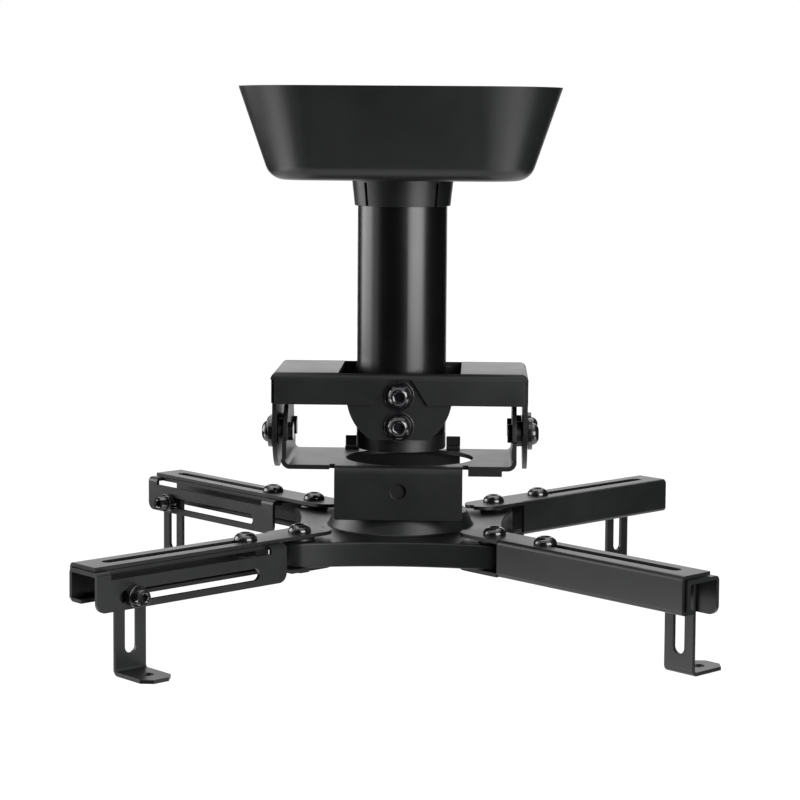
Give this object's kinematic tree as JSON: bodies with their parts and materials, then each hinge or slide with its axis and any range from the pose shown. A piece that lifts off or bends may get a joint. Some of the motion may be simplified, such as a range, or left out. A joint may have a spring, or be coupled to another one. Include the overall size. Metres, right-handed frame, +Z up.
{
  "type": "projector ceiling mount",
  "caption": "Ceiling mount for a video projector: cover, pipe, folded tilt brackets, and a turning hub with slotted telescopic arms that end in drilled feet.",
  "frame": {"origin": "middle of the four ceiling slots, in the face that stands against the ceiling", "axes": "+Z up into the ceiling, -Y to the front with the drilled flange, +X to the right seen from the front"},
  "size_m": [0.3358, 0.3358, 0.2958],
  "materials": {
    "black_powder_coat": "satin black powder coat on folded steel sheet",
    "black_cover_plastic": "satin black moulded plastic",
    "black_bush_plastic": "dull black plastic",
    "black_screw_steel": "semi-gloss black oxide steel"
  },
  "bodies": {
    "ceiling": {"ceiling_plate": "black_powder_coat", "pipe": "black_powder_coat", "pipe_end_bush": "black_bush_plastic", "front_saddle": "black_powder_coat", "rear_saddle": "black_powder_coat", "roll_screws": "black_screw_steel", "roll_washers": "black_screw_steel", "roll_nuts": "black_screw_steel"},
    "cover": {"ceiling_cover": "black_cover_plastic"},
    "upper": {"upper_bracket": "black_powder_coat", "front_roll_plate": "black_powder_coat", "rear_roll_plate": "black_powder_coat"},
    "lower": {"lower_bracket": "black_powder_coat", "yoke": "black_powder_coat", "swivel_bush": "black_powder_coat", "swivel_washer": "black_bush_plastic", "tilt_screws": "black_screw_steel", "tilt_washers": "black_screw_steel", "tilt_spacers": "black_powder_coat", "tilt_nuts": "black_screw_steel"},
    "spider": {"hub": "black_powder_coat", "hub_screws": "black_screw_steel", "hub_spacers": "black_powder_coat", "hub_nuts": "black_screw_steel"},
    "arm_1": {"arm_channel_1": "black_powder_coat"},
    "extension_1": {"arm_slide_1": "black_powder_coat", "clamp_screw_1": "black_screw_steel", "clamp_nut_1": "black_screw_steel"},
    "foot_carriage_1": {"foot_screw_1": "black_screw_steel", "foot_collar_1": "black_screw_steel", "foot_nut_1": "black_screw_steel"},
    "foot_leg_1": {"foot_1": "black_powder_coat"},
    "arm_2": {"arm_channel_2": "black_powder_coat"},
    "extension_2": {"arm_slide_2": "black_powder_coat", "clamp_screw_2": "black_screw_steel", "clamp_nut_2": "black_screw_steel"},
    "foot_carriage_2": {"foot_screw_2": "black_screw_steel", "foot_collar_2": "black_screw_steel", "foot_nut_2": "black_screw_steel"},
    "foot_leg_2": {"foot_2": "black_powder_coat"},
    "arm_3": {"arm_channel_3": "black_powder_coat"},
    "extension_3": {"arm_slide_3": "black_powder_coat", "clamp_screw_3": "black_screw_steel", "clamp_nut_3": "black_screw_steel"},
    "foot_carriage_3": {"foot_screw_3": "black_screw_steel", "foot_collar_3": "black_screw_steel", "foot_nut_3": "black_screw_steel"},
    "foot_leg_3": {"foot_3": "black_powder_coat"},
    "arm_4": {"arm_channel_4": "black_powder_coat"},
    "extension_4": {"arm_slide_4": "black_powder_coat", "clamp_screw_4": "black_screw_steel", "clamp_nut_4": "black_screw_steel"},
    "foot_carriage_4": {"foot_screw_4": "black_screw_steel", "foot_collar_4": "black_screw_steel", "foot_nut_4": "black_screw_steel"},
    "foot_leg_4": {"foot_4": "black_powder_coat"}
  },
  "joints": [
    {"name": "cover_slide", "type": "slide", "parent": "ceiling", "child": "cover", "axis": [0, 0, -1], "range_m": [0, 0.085]},
    {"name": "roll", "type": "hinge", "parent": "ceiling", "child": "upper", "pos_m": [0, 0, -0.168], "axis": [0, 1, 0], "range_deg": [-8, 8]},
    {"name": "tilt", "type": "hinge", "parent": "upper", "child": "lower", "pos_m": [0, 0.0135, -0.1907], "axis": [1, 0, 0], "range_deg": [-12, 12]},
    {"name": "swivel", "type": "hinge", "parent": "lower", "child": "spider", "pos_m": [0, 0, -0.2365], "axis": [0, 0, 1], "continuous": true},
    {"name": "arm_swing_1", "type": "hinge", "parent": "spider", "child": "arm_1", "pos_m": [0.05268, 0.05268, -0.241], "axis": [0, 0, 1], "range_deg": [-20, 20]},
    {"name": "arm_extend_1", "type": "slide", "parent": "arm_1", "child": "extension_1", "axis": [0.7071, 0.7071, 0], "range_m": [0, 0.08]},
    {"name": "foot_shift_1", "type": "slide", "parent": "extension_1", "child": "foot_carriage_1", "axis": [0.7071, 0.7071, 0], "range_m": [-0.077, 0.003]},
    {"name": "foot_height_1", "type": "slide", "parent": "foot_carriage_1", "child": "foot_leg_1", "axis": [0, 0, 1], "range_m": [0, 0.025]},
    {"name": "arm_swing_2", "type": "hinge", "parent": "spider", "child": "arm_2", "pos_m": [-0.05268, 0.05268, -0.241], "axis": [0, 0, 1], "range_deg": [-20, 20]},
    {"name": "arm_extend_2", "type": "slide", "parent": "arm_2", "child": "extension_2", "axis": [-0.7071, 0.7071, 0], "range_m": [0, 0.08]},
    {"name": "foot_shift_2", "type": "slide", "parent": "extension_2", "child": "foot_carriage_2", "axis": [-0.7071, 0.7071, 0], "range_m": [-0.077, 0.003]},
    {"name": "foot_height_2", "type": "slide", "parent": "foot_carriage_2", "child": "foot_leg_2", "axis": [0, 0, 1], "range_m": [0, 0.025]},
    {"name": "arm_swing_3", "type": "hinge", "parent": "spider", "child": "arm_3", "pos_m": [-0.05268, -0.05268, -0.241], "axis": [0, 0, 1], "range_deg": [-20, 20]},
    {"name": "arm_extend_3", "type": "slide", "parent": "arm_3", "child": "extension_3", "axis": [-0.7071, -0.7071, 0], "range_m": [0, 0.08]},
    {"name": "foot_shift_3", "type": "slide", "parent": "extension_3", "child": "foot_carriage_3", "axis": [-0.7071, -0.7071, 0], "range_m": [-0.077, 0.003]},
    {"name": "foot_height_3", "type": "slide", "parent": "foot_carriage_3", "child": "foot_leg_3", "axis": [0, 0, 1], "range_m": [0, 0.025]},
    {"name": "arm_swing_4", "type": "hinge", "parent": "spider", "child": "arm_4", "pos_m": [0.05268, -0.05268, -0.241], "axis": [0, 0, 1], "range_deg": [-20, 20]},
    {"name": "arm_extend_4", "type": "slide", "parent": "arm_4", "child": "extension_4", "axis": [0.7071, -0.7071, 0], "range_m": [0, 0.08]},
    {"name": "foot_shift_4", "type": "slide", "parent": "extension_4", "child": "foot_carriage_4", "axis": [0.7071, -0.7071, 0], "range_m": [-0.077, 0.003]},
    {"name": "foot_height_4", "type": "slide", "parent": "foot_carriage_4", "child": "foot_leg_4", "axis": [0, 0, 1], "range_m": [0, 0.025]}
  ]
}
